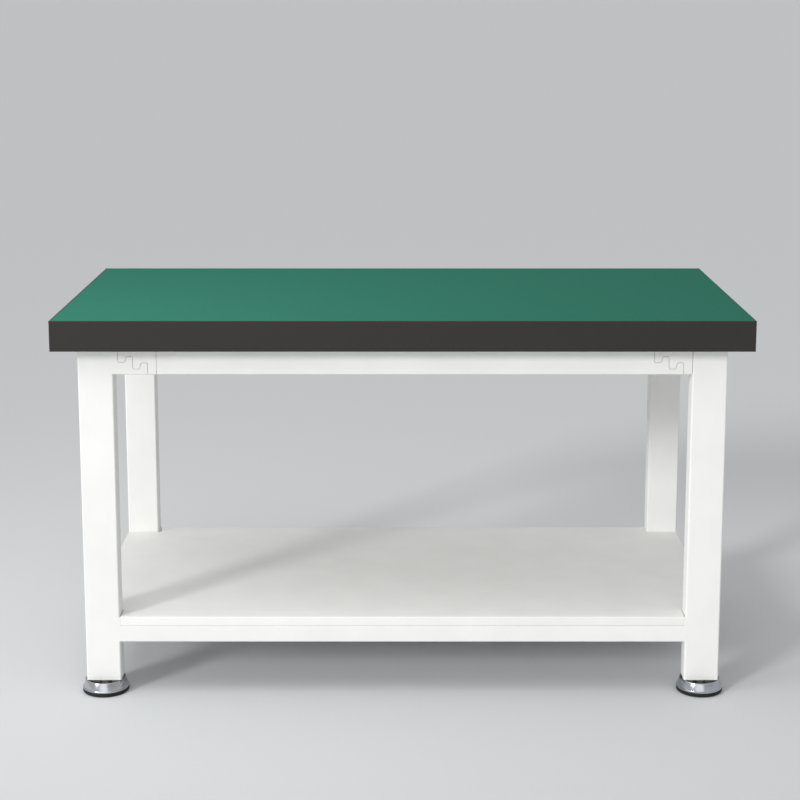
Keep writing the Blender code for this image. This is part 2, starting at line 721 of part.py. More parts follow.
def build_ground_point(materials, bench):
    """A weld stud with a washer and a nut on the left rail, where the ground lead is clamped."""
    x = -FRAME_HALF_WIDTH - SEAT_GAP
    y = SIDE_RAIL_END - GROUND_INSET
    z = FRAME_TOP - BEAM_HEIGHT / 2
    bore = GROUND_STUD_RADIUS + THREAD_CLEARANCE
    washer_bottom = GROUND_BASE_HEIGHT + SEAT_GAP
    washer_top = washer_bottom + GROUND_WASHER_HEIGHT
    nut_bottom = washer_top + SEAT_GAP
    nut_top = nut_bottom + GROUND_NUT_HEIGHT
    stud = (
        (0, 0, 0),
        (GROUND_BASE_RADIUS, 0, 0),
        (GROUND_BASE_RADIUS, GROUND_BASE_HEIGHT, 0),
        (GROUND_STUD_RADIUS, GROUND_BASE_HEIGHT, 0),
        (GROUND_STUD_RADIUS, GROUND_STUD_LENGTH - STEM_TIP_CHAMFER, 0),
        (GROUND_STUD_RADIUS - STEM_TIP_CHAMFER, GROUND_STUD_LENGTH, 0),
        (0, GROUND_STUD_LENGTH, 0),
    )
    washer = (
        (bore, washer_bottom, 0),
        (GROUND_WASHER_RADIUS, washer_bottom, 0),
        (GROUND_WASHER_RADIUS, washer_top, 0),
        (bore, washer_top, 0),
    )
    nut = (
        (bore, nut_bottom, 0),
        (GROUND_NUT_FLATS / 2, nut_bottom, HEXAGON),
        (GROUND_NUT_FLATS / 2, nut_top, HEXAGON),
        (bore, nut_top, 0),
    )
    for name, profile, bored in (
        ("ground_stud", stud, False),
        ("ground_washer", washer, True),
        ("ground_nut", nut, True),
    ):
        mesh = turned_mesh(name, profile, STEM_SEGMENTS, bored)
        piece = add_object(name, mesh, materials["brass"], (x, y, z), bench)
        piece.rotation_euler = (0, -math.pi / 2, 0)


def main():
    for piece in list(bpy.data.objects):
        bpy.data.objects.remove(piece)
    materials = make_materials()
    bench = add_empty("bench", (0, 0, 0))
    cutters = build_screw_cutters()
    build_worktop(materials, bench, cutters)
    build_worktop_screws(materials, bench)
    build_legs(materials, bench)
    build_beams(materials, bench, cutters)
    build_side_rails(materials, bench, cutters)
    build_lower_beams(materials, bench)
    build_shelf(materials, bench)
    build_shelf_ribs(materials, bench)
    build_feet(materials)
    build_foot_plates(materials, bench)
    build_ground_point(materials, bench)


main()
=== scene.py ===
"""Looks of the anti-static workbench: finishes, finer pieces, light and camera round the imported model.

Metres, +Z up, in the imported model's frame: X runs along the bench and -Y is the user's side.
"""

import json
import math

import bmesh
import bpy
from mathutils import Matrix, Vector


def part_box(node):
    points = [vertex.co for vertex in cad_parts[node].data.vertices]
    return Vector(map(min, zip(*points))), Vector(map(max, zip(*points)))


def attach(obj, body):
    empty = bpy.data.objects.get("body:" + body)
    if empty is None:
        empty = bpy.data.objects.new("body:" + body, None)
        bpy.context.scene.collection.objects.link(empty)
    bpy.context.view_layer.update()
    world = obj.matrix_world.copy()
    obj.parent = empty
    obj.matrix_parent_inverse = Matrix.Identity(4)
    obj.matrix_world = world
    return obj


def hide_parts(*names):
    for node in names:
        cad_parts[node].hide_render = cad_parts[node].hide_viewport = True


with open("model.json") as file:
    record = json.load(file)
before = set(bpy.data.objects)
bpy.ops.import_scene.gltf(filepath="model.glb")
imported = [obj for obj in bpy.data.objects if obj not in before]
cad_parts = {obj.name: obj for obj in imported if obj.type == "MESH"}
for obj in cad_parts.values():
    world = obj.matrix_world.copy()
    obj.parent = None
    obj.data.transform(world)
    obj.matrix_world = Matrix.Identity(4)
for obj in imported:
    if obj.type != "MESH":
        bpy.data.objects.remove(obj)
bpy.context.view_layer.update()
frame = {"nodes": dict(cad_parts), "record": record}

# Camera, matched to the photograph's perspective
IMAGE_SIZE = 800
FOCAL_PIXELS = 1791.09
PRINCIPAL_POINT = (402.61, 305.82)
CAMERA_PLACE = (0.0, -4.1129, 1.5258)
CAMERA_PITCH = math.radians(9.775)
SENSOR_WIDTH = 36.0  # millimetres

# Light: a low key on the left, as in the photograph, a softbox over the worktop and a pale surround
KEY_AZIMUTH = math.radians(42)
KEY_ELEVATION = math.radians(20)
KEY_SPREAD = math.radians(12)
KEY_STRENGTH = 1.54
SOFTBOX_PLACE = (-0.9, -0.6, 1.9)
SOFTBOX_TARGET = (-0.3, 0.0, 0.8)
SOFTBOX_SIZE = 1.4
SOFTBOX_POWER = 14.7
SURROUND_LEVEL = 0.44
SURROUND_TOP_GAIN = 0.2
HORIZON_GAIN = 0.1  # brings the surround to the floor's level where they meet
HORIZON_FADE = math.radians(14)
GLOW_AZIMUTH = math.radians(6)  # the middle of a bright patch low in front, which the chrome mirrors
GLOW_ELEVATION = math.radians(6)
GLOW_CORE = math.radians(11)
GLOW_EDGE = math.radians(28)
GLOW_GAIN = 0.8
FLOOR_HALF = 900.0  # so far that the floor's edge is the horizon

# Finishes, as sRGB levels
MAT_GREENS = ((39, 106, 88), (44, 112, 94))
EDGE_GREYS = ((42, 41, 39), (47, 45, 43))
BOARD_BROWNS = ((150, 116, 78), (196, 164, 120))
BACKING_GREYS = ((198, 197, 191), (210, 209, 204))
FRAME_WHITES = ((236, 236, 234), (240, 240, 238))
STEEL_GREYS = ((158, 160, 162), (180, 182, 184))
PLATE_GREYS = ((58, 58, 60), (78, 78, 80))
CHROME_GREYS = ((184, 187, 192), (200, 203, 208))
DULL_GREYS = ((168, 165, 158), (184, 181, 174))
RUBBER_BLACKS = ((24, 24, 24), (34, 34, 34))
BRASS_YELLOWS = ((178, 144, 74), (200, 166, 92))
FLOOR_GREYS = ((214, 216, 218), (217, 219, 221))
NOISE_RANGE = (0.3, 0.7)  # the levels that most of a noise lies between

# Sizes repeated from the part's source
FOOT_CORNERS = ("front_left", "front_right", "rear_left", "rear_right")
SEAT_GAP = 0.0003
LEG_CORNER = 0.004
CUP_FLANGE_HEIGHT = 0.0032
CUP_BODY_RADIUS = 0.049
CUP_RIM_RADIUS = 0.045
CUP_WALL = 0.003
CUP_FLOOR = 0.003
PAD_ROUND = 0.004
STEM_RADIUS = 0.008
STEM_HEAD_RADIUS = 0.0165
STEM_HEAD_HEIGHT = 0.0032
STEM_TIP_CHAMFER = 0.0012
COLLAR_FLATS = 0.024
SCREW_RADIUS = 0.0025
SCREW_TIP = 0.004
SCREW_HEAD_RADIUS = 0.006
SCREW_HEAD_HEIGHT = 0.0035
GROUND_STUD_RADIUS = 0.004
GROUND_BASE_RADIUS = 0.009
GROUND_BASE_HEIGHT = 0.002
GROUND_WASHER_RADIUS = 0.0085
GROUND_NUT_FLATS = 0.013
NOTCH_CLEARANCE = 0.001
SHELF_SHEET = 0.0015
SHELF_CABLE_CUT = 0.030

# Sizes of the finer forms
CUP_EDGE = 0.0010
CUP_FILLET = 0.0012
CUP_RIM_START = 10  # degrees, where the wall runs into the rolled rim
PAD_TOP_EDGE = 0.0006
TREAD_GROOVE = 0.0012
TREAD_RINGS = 4
TREAD_START = 0.012
TREAD_SPACING = 0.008
STEM_PITCH = 0.002
STEM_THREAD_DEPTH = 0.00105
GROUND_PITCH = 0.00125
GROUND_THREAD_DEPTH = 0.00065
SCREW_PITCH = 0.0018
SCREW_THREAD_DEPTH = 0.0006
THREAD_MIDDLE = 0.5  # a thread's level halfway up its flank, as a share of its depth
THREAD_SWING = 0.7  # over a half, so that crests and roots are flat
SCREW_DOME_HEIGHT = 0.0022
SCREW_FACE_RADIUS = 0.0034
RECESS_RADIUS = 0.0019
RECESS_LOBE = 0.0003
RECESS_LOBES = 6
RECESS_DEPTH = 0.0018
FINE_EDGE = 0.0004  # the small round on turned steel
HEX_FACE_SHARE = 0.95  # a chamfered hexagon's round face, as a share of its flats
SHELF_CORNER = 0.003
SHELF_BEND = 0.0025
SHELF_HEM = 0.0003
BEAD_RADIUS = 0.003
BEAD_RIPPLE = 0.0022
BEAD_SWELL = 0.12
BEAD_END = 0.004  # length over which a bead tapers off
BEAD_END_SHARE = 0.35  # a bead's size at its very end
BEAD_SINK = 0.0005
WELD_REACH = 0.002  # how far a ground weld reaches into what it joins
WELD_CROWN = 0.0001

# Fineness
FOOT_SEGMENTS = 96
STEM_SEGMENTS = 36
SCREW_SEGMENTS = 24
THREAD_ROWS = 10  # rows of points in one pitch
CHAMFER_STEPS = 4
ARC_STEPS = 6
BEAD_STEP = 0.0005
SMOOTH_ANGLE = math.radians(35)
WELD_DISTANCE = 0.00001

# Directions
UP = Vector((0, 0, 1))
LEFT = Vector((-1, 0, 0))


# Materials


def linear(level):
    """One sRGB level from 0 to 255 as the linear value that a shader takes."""
    share = level / 255
    if share <= 0.04045:
        return share / 12.92
    return ((share + 0.055) / 1.055) ** 2.4


def shader_colour(levels):
    return (*map(linear, levels), 1.0)


class Finish:
    """A node material whose colour, roughness and relief come from noise in the object's own space."""

    def __init__(self, name, metallic=0.0, specular=0.5):
        self.material = bpy.data.materials.new(name)
        self.material.use_nodes = True
        self.nodes = self.material.node_tree.nodes
        self.links = self.material.node_tree.links
        self.shader = self.nodes["Principled BSDF"]
        self.shader.inputs["Metallic"].default_value = metallic
        self.shader.inputs["Specular IOR Level"].default_value = specular
        self.place = self.nodes.new("ShaderNodeTexCoord").outputs["Object"]

    def scaled(self, size, stretch=(1, 1, 1)):
        """The object's own space in steps of a size in metres, drawn out along an axis by its stretch."""
        mapping = self.nodes.new("ShaderNodeMapping")
        mapping.inputs["Scale"].default_value = [1 / (size * factor) for factor in stretch]
        self.links.new(self.place, mapping.inputs["Vector"])
        return mapping.outputs["Vector"]

    def noise(self, size, detail=2.0, stretch=(1, 1, 1)):
        """Noise whose blotches are about that size."""
        texture = self.nodes.new("ShaderNodeTexNoise")
        texture.inputs["Scale"].default_value = 1.0
        texture.inputs["Detail"].default_value = detail
        self.links.new(self.scaled(size, stretch), texture.inputs["Vector"])
        return texture.outputs["Fac"]

    def flakes(self, size):
        """Chips of about that size, each darkest in its middle."""
        texture = self.nodes.new("ShaderNodeTexVoronoi")
        texture.inputs["Scale"].default_value = 1.0
        self.links.new(self.scaled(size), texture.inputs["Vector"])
        return texture.outputs["Distance"]

    def spread(self, source, low, high):
        """The source's middle range stretched from low to high."""
        node = self.nodes.new("ShaderNodeMapRange")
        node.inputs["From Min"].default_value = NOISE_RANGE[0]
        node.inputs["From Max"].default_value = NOISE_RANGE[1]
        node.inputs["To Min"].default_value = low
        node.inputs["To Max"].default_value = high
        self.links.new(source, node.inputs["Value"])
        return node.outputs["Result"]

    def colour(self, source, levels):
        ramp = self.nodes.new("ShaderNodeValToRGB")
        for stop, tone in zip(ramp.color_ramp.elements, levels):
            stop.color = shader_colour(tone)
        self.links.new(self.spread(source, 0, 1), ramp.inputs["Fac"])
        self.links.new(ramp.outputs["Color"], self.shader.inputs["Base Color"])

    def roughness(self, source, low, high):
        self.links.new(self.spread(source, low, high), self.shader.inputs["Roughness"])

    def relief(self, source, height):
        bump = self.nodes.new("ShaderNodeBump")
        bump.inputs["Distance"].default_value = height
        bump.inputs["Strength"].default_value = 1.0
        self.links.new(source, bump.inputs["Height"])
        self.links.new(bump.outputs["Normal"], self.shader.inputs["Normal"])


def green_mat():
    finish = Finish("green_static_mat", specular=0.08)
    finish.colour(finish.noise(size=0.0011, detail=3), MAT_GREENS)
    finish.roughness(finish.noise(size=0.004), low=0.78, high=0.9)
    finish.relief(finish.noise(size=0.0007), height=0.00006)
    return finish.material


def dark_edge():
    finish = Finish("dark_edge_band", specular=0.3)
    finish.colour(finish.noise(size=0.0015, detail=3, stretch=(4, 4, 1)), EDGE_GREYS)
    finish.roughness(finish.noise(size=0.003), low=0.42, high=0.54)
    finish.relief(finish.noise(size=0.0009, stretch=(3, 3, 1)), height=0.00005)
    return finish.material


def pressed_board():
    finish = Finish("pressed_board", specular=0.2)
    finish.colour(finish.flakes(size=0.004), BOARD_BROWNS)
    finish.roughness(finish.noise(size=0.002), low=0.75, high=0.9)
    finish.relief(finish.flakes(size=0.003), height=0.0002)
    return finish.material


def pale_backing():
    finish = Finish("pale_backing", specular=0.3)
    finish.colour(finish.noise(size=0.002, detail=3), BACKING_GREYS)
    finish.roughness(finish.noise(size=0.005), low=0.5, high=0.62)
    finish.relief(finish.noise(size=0.0012), height=0.00004)
    return finish.material


def white_coat():
    finish = Finish("white_powder_coat", specular=0.25)
    finish.colour(finish.noise(size=0.09), FRAME_WHITES)
    finish.roughness(finish.noise(size=0.012), low=0.62, high=0.72)
    finish.relief(finish.noise(size=0.0016, detail=1), height=0.00005)
    return finish.material


def zinc_steel():
    finish = Finish("zinc_steel", metallic=1.0)
    finish.colour(finish.noise(size=0.004, detail=3), STEEL_GREYS)
    finish.roughness(finish.noise(size=0.0025), low=0.28, high=0.42)
    finish.relief(finish.noise(size=0.0006), height=0.00002)
    return finish.material


def rolled_steel():
    finish = Finish("dark_rolled_steel", metallic=1.0)
    finish.colour(finish.noise(size=0.006, detail=4), PLATE_GREYS)
    finish.roughness(finish.noise(size=0.004), low=0.5, high=0.68)
    finish.relief(finish.noise(size=0.0012), height=0.00004)
    return finish.material


def polished_chrome():
    finish = Finish("polished_chrome", metallic=1.0)
    finish.colour(finish.noise(size=0.02), CHROME_GREYS)
    finish.roughness(finish.noise(size=0.006), low=0.14, high=0.19)
    return finish.material


def dull_plating():
    finish = Finish("dull_plating", metallic=1.0)
    finish.colour(finish.noise(size=0.005, detail=3), DULL_GREYS)
    finish.roughness(finish.noise(size=0.003), low=0.4, high=0.55)
    return finish.material


def black_rubber():
    finish = Finish("black_rubber", specular=0.35)
    finish.colour(finish.noise(size=0.003, detail=3), RUBBER_BLACKS)
    finish.roughness(finish.noise(size=0.002), low=0.62, high=0.76)
    finish.relief(finish.noise(size=0.0008), height=0.00006)
    return finish.material


def plain_brass():
    finish = Finish("plain_brass", metallic=1.0)
    finish.colour(finish.noise(size=0.003, detail=3), BRASS_YELLOWS)
    finish.roughness(finish.noise(size=0.002), low=0.24, high=0.36)
    return finish.material


def make_finishes():
    return {
        "mat": green_mat(),
        "edge": dark_edge(),
        "board": pressed_board(),
        "backing": pale_backing(),
        "frame": white_coat(),
        "steel": zinc_steel(),
        "plate": rolled_steel(),
        "chrome": polished_chrome(),
        "dull": dull_plating(),
        "rubber": black_rubber(),
        "brass": plain_brass(),
    }


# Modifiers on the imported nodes


def make_smooth_group():
    """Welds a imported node's triangles together and shades it smooth, apart from its sharp edges."""
    group = bpy.data.node_groups.new("weld_and_smooth", "GeometryNodeTree")
    group.interface.new_socket("Geometry", in_out="INPUT", socket_type="NodeSocketGeometry")
    group.interface.new_socket("Geometry", in_out="OUTPUT", socket_type="NodeSocketGeometry")
    source = group.nodes.new("NodeGroupInput")
    result = group.nodes.new("NodeGroupOutput")
    weld = group.nodes.new("GeometryNodeMergeByDistance")
    weld.inputs["Distance"].default_value = WELD_DISTANCE
    angle = group.nodes.new("GeometryNodeInputMeshEdgeAngle")
    steep = group.nodes.new("FunctionNodeCompare")
    steep.operation = "GREATER_THAN"
    steep.inputs["B"].default_value = SMOOTH_ANGLE
    group.links.new(angle.outputs["Unsigned Angle"], steep.inputs["A"])
    last = source.outputs[0]
    group.links.new(last, weld.inputs["Geometry"])
    last = weld.outputs["Geometry"]
    for domain, smooth in (("FACE", True), ("EDGE", True), ("EDGE", False)):
        shade = group.nodes.new("GeometryNodeSetShadeSmooth")
        shade.domain = domain
        shade.inputs["Shade Smooth"].default_value = smooth
        if not smooth:
            group.links.new(steep.outputs["Result"], shade.inputs["Selection"])
        group.links.new(last, shade.inputs["Geometry"])
        last = shade.outputs["Geometry"]
    group.links.new(last, result.inputs[0])
    return group


def dress_nodes(finishes):
    """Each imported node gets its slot's finish, welded corners and even shading."""
    group = make_smooth_group()
    for part in frame["record"]["subparts"]:
        node = frame["nodes"][part["node"]]
        slot = part["material_slot"]
        if part["node"].startswith("foot_plate"):
            slot = "plate"
        node.data.materials.clear()
        node.data.materials.append(finishes[slot])
        smooth = node.modifiers.new("weld_and_smooth", "NODES")
        smooth.node_group = group
        even = node.modifiers.new("even_shading", "WEIGHTED_NORMAL")
        even.keep_sharp = True


# Meshes


def arc(centre, radius, start, stop):
    """Points (across, up) on an arc between two angles in degrees, from the outward direction."""
    points = []
    for step in range(ARC_STEPS + 1):
        angle = math.radians(start + (stop - start) * step / ARC_STEPS)
        points.append((centre[0] + radius * math.cos(angle), centre[1] + radius * math.sin(angle)))
    return points


def finish_mesh(work, name):
    bmesh.ops.recalc_face_normals(work, faces=work.faces)
    mesh = bpy.data.meshes.new(name)
    work.to_mesh(mesh)
    work.free()
    mesh.shade_smooth()
    mesh.set_sharp_from_angle(angle=SMOOTH_ANGLE)
    return mesh


def add_ring(work, points):
    return [work.verts.new(point) for point in points]


def join_rings(work, ring, other):
    """Faces between two rings. A ring that is one point gives triangles."""
    count = len(ring)
    for index in range(count):
        after = (index + 1) % count
        corners = dict.fromkeys((ring[index], ring[after], other[after], other[index]))
        work.faces.new(corners)


def loft(work, rings):
    """A closed skin over rings of points, with a face on each end."""
    placed = [add_ring(work, ring) for ring in rings]
    for ring, other in zip(placed, placed[1:]):
        join_rings(work, ring, other)
    work.faces.new(placed[0])
    work.faces.new(placed[-1])


def ring_points(reach, height, segments):
    """A ring about Z. Its reach is a radius, or a function that gives the radius at an angle."""
    points = []
    for index in range(segments):
        angle = 2 * math.pi * index / segments
        radius = reach(angle) if callable(reach) else reach
        points.append((radius * math.cos(angle), radius * math.sin(angle), height))
    return points


def turned_mesh(name, profile, segments, bored=False):
    """A shape turned about Z from points (reach, height). A bored shape has a closed profile."""
    work = bmesh.new()
    rings = []
    for reach, height in profile:
        if reach == 0:
            rings.append([work.verts.new((0, 0, height))] * segments)
        else:
            rings.append(add_ring(work, ring_points(reach, height, segments)))
    for ring, other in zip(rings, rings[1:]):
        join_rings(work, ring, other)
    if bored:
        join_rings(work, rings[-1], rings[0])
    return finish_mesh(work, name)


def hexagon(flats, limit):
    """The reach of a hexagon whose corners are turned down to a limit."""
    sector = math.pi / 3
    return lambda angle: min(limit, flats / 2 / math.cos(angle % sector - sector / 2))


def lobed(radius, lobe):
    """The reach of a six-lobed recess."""
    return lambda angle: radius + lobe * math.cos(RECESS_LOBES * angle)


def hex_rows(flats, bottom, top):
    """A hexagon whose corners are chamfered at both ends."""
    face = HEX_FACE_SHARE * flats / 2
    rise = flats / math.sqrt(3) - face
    rows = []
    for step in range(CHAMFER_STEPS + 1):
        share = step / CHAMFER_STEPS
        rows.append((hexagon(flats, face + share * rise), share * rise * math.tan(math.pi / 6)))
    lower = [(reach, bottom + depth) for reach, depth in rows]
    upper = [(reach, top - depth) for reach, depth in reversed(rows)]
    return lower + upper


def thread_reach(radius, depth, turns):
    """The reach of a right-handed thread at a height, given in turns of the thread."""

    def reach(angle):
        wave = THREAD_MIDDLE - THREAD_SWING * math.cos(2 * math.pi * turns - angle)
        return radius - depth * min(1, max(0, wave))

    return reach


def thread_rows(radius, depth, pitch, bottom, top):
    """Rows of a thread that runs out to the full radius at both ends."""
    count = round((top - bottom) / pitch * THREAD_ROWS)
    rows = []
    for row in range(count + 1):
        height = bottom + (top - bottom) * row / count
        share = min(1, (height - bottom) / pitch, (top - height) / pitch)
        rows.append((thread_reach(radius, depth * share, height / pitch), height))
    return rows


def add_piece(name, mesh, finish, body, place=(0, 0, 0), replaced=()):
    piece = bpy.data.objects.new(name, mesh)
    piece.data.materials.append(finish)
    piece.location = place
    bpy.context.scene.collection.objects.link(piece)
    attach(piece, body)
    if replaced:
        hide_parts(*replaced)
    return piece


# Feet


def cup_mesh(name, low, high):
    """A chromed dish: a rounded flange, a leaning wall with a rolled rim, and a floor round the stem."""
    bottom = low[2]
    top = high[2]
    flange = (high[0] - low[0]) / 2
    bore = STEM_RADIUS + SEAT_GAP
    head = STEM_HEAD_RADIUS + SEAT_GAP
    recess = bottom + STEM_HEAD_HEIGHT + SEAT_GAP
    floor = recess + CUP_FLOOR
    lip = CUP_WALL / 2
    flange_top = bottom + CUP_FLANGE_HEIGHT
    profile = [(bore, recess), (head, recess), (head, bottom)]
    profile += arc((flange - CUP_EDGE, bottom + CUP_EDGE), CUP_EDGE, -90, 0)
    profile += arc((flange - CUP_EDGE, flange_top - CUP_EDGE), CUP_EDGE, 0, 90)
    profile += arc((CUP_BODY_RADIUS + CUP_FILLET, flange_top + CUP_FILLET), CUP_FILLET, 270, 180)
    profile += arc((CUP_RIM_RADIUS - lip, top - lip), lip, CUP_RIM_START, 180)
    profile += arc((CUP_RIM_RADIUS - CUP_WALL - CUP_FILLET, floor + CUP_FILLET), CUP_FILLET, 0, -90)
    profile += [(bore, floor)]
    return turned_mesh(name, profile, FOOT_SEGMENTS, bored=True)


def dull_inside(cup, finish):
    """The plating inside a dish stays unpolished."""
    cup.materials.append(finish)
    for face in cup.polygons:
        if face.center.xy.length < CUP_RIM_RADIUS - CUP_WALL:
            face.material_index = 1


def pad_mesh(name, low, high):
    """A rubber pad with a rounded tread edge and ring grooves under it."""
    radius = (high[0] - low[0]) / 2
    top = high[2] - low[2]
    profile = [(0, 0)]
    for ring in range(TREAD_RINGS):
        start = TREAD_START + ring * TREAD_SPACING
        profile += [
            (start, 0),
            (start + TREAD_GROOVE, TREAD_GROOVE),
            (start + 2 * TREAD_GROOVE, TREAD_GROOVE),
            (start + 3 * TREAD_GROOVE, 0),
        ]
    profile += arc((radius - PAD_ROUND, PAD_ROUND), PAD_ROUND, -90, 0)
    profile += arc((radius - PAD_TOP_EDGE, top - PAD_TOP_EDGE), PAD_TOP_EDGE, 0, 90)
    profile += [(0, top)]
    return turned_mesh(name, profile, FOOT_SEGMENTS)


def stem_mesh(name, low, high, leg_bottom):
    """A head that turns in the cup, a chamfered hexagonal collar and a threaded shank."""
    bottom = low[2]
    top = high[2]
    head_top = bottom + STEM_HEAD_HEIGHT
    collar_bottom = head_top + CUP_FLOOR + 2 * SEAT_GAP
    collar_top = leg_bottom - SEAT_GAP
    thread_top = top - STEM_TIP_CHAMFER
    profile = [(0, bottom)]
    profile += arc((STEM_HEAD_RADIUS - FINE_EDGE, bottom + FINE_EDGE), FINE_EDGE, -90, 0)
    profile += arc((STEM_HEAD_RADIUS - FINE_EDGE, head_top - FINE_EDGE), FINE_EDGE, 0, 90)
    profile += [(STEM_RADIUS, head_top), (STEM_RADIUS, collar_bottom)]
    profile += hex_rows(COLLAR_FLATS, collar_bottom, collar_top)
    profile += thread_rows(STEM_RADIUS, STEM_THREAD_DEPTH, STEM_PITCH, collar_top, thread_top)
    profile += [(STEM_RADIUS - STEM_TIP_CHAMFER, top), (0, top)]
    return turned_mesh(name, profile, STEM_SEGMENTS)


def build_feet(finishes):
    for corner in FOOT_CORNERS:
        pad_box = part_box(f"foot_pad_{corner}")
        cup_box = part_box(f"foot_cup_{corner}")
        stem_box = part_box(f"foot_stem_{corner}")
        leg_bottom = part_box(f"leg_{corner}")[0][2]
        middle = (pad_box[0] + pad_box[1]) / 2
        axis = (middle[0], middle[1], 0)
        base = f"base_{corner}"
        cup = cup_mesh(f"chrome_cup_{corner}", *cup_box)
        pad = pad_mesh(f"rubber_pad_{corner}", *pad_box)
        stem = stem_mesh(f"threaded_stem_{corner}", *stem_box, leg_bottom)
        add_piece(cup.name, cup, finishes["chrome"], base, axis, [f"foot_cup_{corner}"])
        dull_inside(cup, finishes["dull"])
        add_piece(pad.name, pad, finishes["rubber"], base, axis, [f"foot_pad_{corner}"])
        add_piece(
            stem.name, stem, finishes["steel"], f"stem_{corner}", axis, [f"foot_stem_{corner}"]
        )


# Screws and the ground point


def screw_mesh(name, low, high):
    """A pan-head board screw, head down, with a six-lobed recess."""
    face = low[2]
    tip = high[2]
    seat = face + SCREW_HEAD_HEIGHT
    recess = lobed(RECESS_RADIUS, RECESS_LOBE)
    profile = [(0, face + RECESS_DEPTH), (recess, face + RECESS_DEPTH), (recess, face)]
    for step in range(ARC_STEPS + 1):
        angle = step / ARC_STEPS * math.pi / 2
        reach = SCREW_FACE_RADIUS + (SCREW_HEAD_RADIUS - SCREW_FACE_RADIUS) * math.sin(angle)
        profile.append((reach, face + SCREW_DOME_HEIGHT * (1 - math.cos(angle))))
    profile += [(SCREW_HEAD_RADIUS, seat)]
    profile += thread_rows(SCREW_RADIUS, SCREW_THREAD_DEPTH, SCREW_PITCH, seat, tip - SCREW_TIP)
    profile += [(0, tip)]
    return turned_mesh(name, profile, SCREW_SEGMENTS)


def build_screws(finishes):
    for node in frame["nodes"]:
        if "_screw_" not in node:
            continue
        low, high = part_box(node)
        middle = (low + high) / 2
        mesh = screw_mesh(f"lobed_{node}", low, high)
        place = (middle[0], middle[1], 0)
        add_piece(mesh.name, mesh, finishes["steel"], "frame", place, [node])


def stud_mesh(name, length):
    """A weld stud: a flanged base and a threaded pin."""
    profile = [(0, 0), (GROUND_BASE_RADIUS, 0)]
    profile += arc((GROUND_BASE_RADIUS - FINE_EDGE, GROUND_BASE_HEIGHT - FINE_EDGE), FINE_EDGE, 0, 90)
    thread_top = length - STEM_TIP_CHAMFER
    profile += thread_rows(
        GROUND_STUD_RADIUS, GROUND_THREAD_DEPTH, GROUND_PITCH, GROUND_BASE_HEIGHT, thread_top
    )
    profile += [(GROUND_STUD_RADIUS - STEM_TIP_CHAMFER, length), (0, length)]
    return turned_mesh(name, profile, STEM_SEGMENTS)


def washer_mesh(name, bottom, top):
    bore = GROUND_STUD_RADIUS + SEAT_GAP
    profile = [(bore, bottom), (GROUND_WASHER_RADIUS - FINE_EDGE, bottom)]
    profile += [(GROUND_WASHER_RADIUS, bottom + FINE_EDGE)]
    profile += arc((GROUND_WASHER_RADIUS - FINE_EDGE, top - FINE_EDGE), FINE_EDGE, 0, 90)
    profile += [(bore, top)]
    return turned_mesh(name, profile, STEM_SEGMENTS, bored=True)


def nut_mesh(name, bottom, top):
    bore = GROUND_STUD_RADIUS + SEAT_GAP
    mouth = bore + FINE_EDGE
    profile = [(bore, bottom + FINE_EDGE), (mouth, bottom)]
    profile += hex_rows(GROUND_NUT_FLATS, bottom, top)
    profile += [(mouth, top), (bore, top - FINE_EDGE)]
    return turned_mesh(name, profile, STEM_SEGMENTS, bored=True)


def build_ground_point(finishes):
    """The stud stands out to the left, so its pieces are turned on their sides."""
    stud_low, stud_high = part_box("ground_stud")
    washer_low, washer_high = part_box("ground_washer")
    nut_low, nut_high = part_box("ground_nut")
    root = stud_high[0]
    middle = (stud_low + stud_high) / 2
    meshes = {
        "ground_stud": stud_mesh("threaded_ground_stud", root - stud_low[0]),
        "ground_washer": washer_mesh("flat_ground_washer", root - washer_high[0], root - washer_low[0]),
        "ground_nut": nut_mesh("hex_ground_nut", root - nut_high[0], root - nut_low[0]),
    }
    for node, mesh in meshes.items():
        mesh.transform(UP.rotation_difference(LEFT).to_matrix().to_4x4())
        place = (root, middle[1], middle[2])
        add_piece(mesh.name, mesh, finishes["brass"], "frame", place, [node])


# Shelf


def round_corners(corners, radius):
    """A closed outline with an arc in place of each corner."""
    points = []
    for index, corner in enumerate(corners):
        way_in = (corner - corners[index - 1]).normalized()
        way_out = (corners[(index + 1) % len(corners)] - corner).normalized()
        turn = math.atan2(way_in.x * way_out.y - way_in.y * way_out.x, way_in.dot(way_out))
        start = corner - way_in * radius * math.tan(abs(turn) / 2)
        centre = start + Vector((-way_in.y, way_in.x)) * math.copysign(radius, turn)
        first = math.atan2(start.y - centre.y, start.x - centre.x)
        for step in range(ARC_STEPS + 1):
            angle = first + turn * step / ARC_STEPS
            points.append(centre + radius * Vector((math.cos(angle), math.sin(angle))))
    return points


def inset_outline(points, distance):
    """A closed anticlockwise outline moved inwards."""
    moved = []
    for index, point in enumerate(points):
        way_in = (point - points[index - 1]).normalized()
        way_out = (points[(index + 1) % len(points)] - point).normalized()
        normals = [Vector((-way.y, way.x)) for way in (way_in, way_out)]
        middle = (normals[0] + normals[1]).normalized()
        moved.append(point + middle * (distance / middle.dot(normals[0])))
    return moved


def shelf_outline(low, high):
    """The shelf from above, notched round the legs, anticlockwise from the front left."""
    front_leg_low, front_leg_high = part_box("leg_front_right")
    rear_leg_low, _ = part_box("leg_rear_right")
    arm = front_leg_low[0] - NOTCH_CLEARANCE
    front_notch = front_leg_high[1] + NOTCH_CLEARANCE
    rear_notch = rear_leg_low[1] - NOTCH_CLEARANCE
    corners = (
        (-arm, low[1]),
        (arm, low[1]),
        (arm, front_notch),
        (high[0], front_notch),
        (high[0], rear_notch),
        (arm, rear_notch),
        (arm, high[1]),
        (SHELF_CABLE_CUT - arm, high[1]),
        (-arm, rear_notch),
        (low[0], rear_notch),
        (low[0], front_notch),
        (-arm, front_notch),
    )
    return [Vector(corner) for corner in corners]


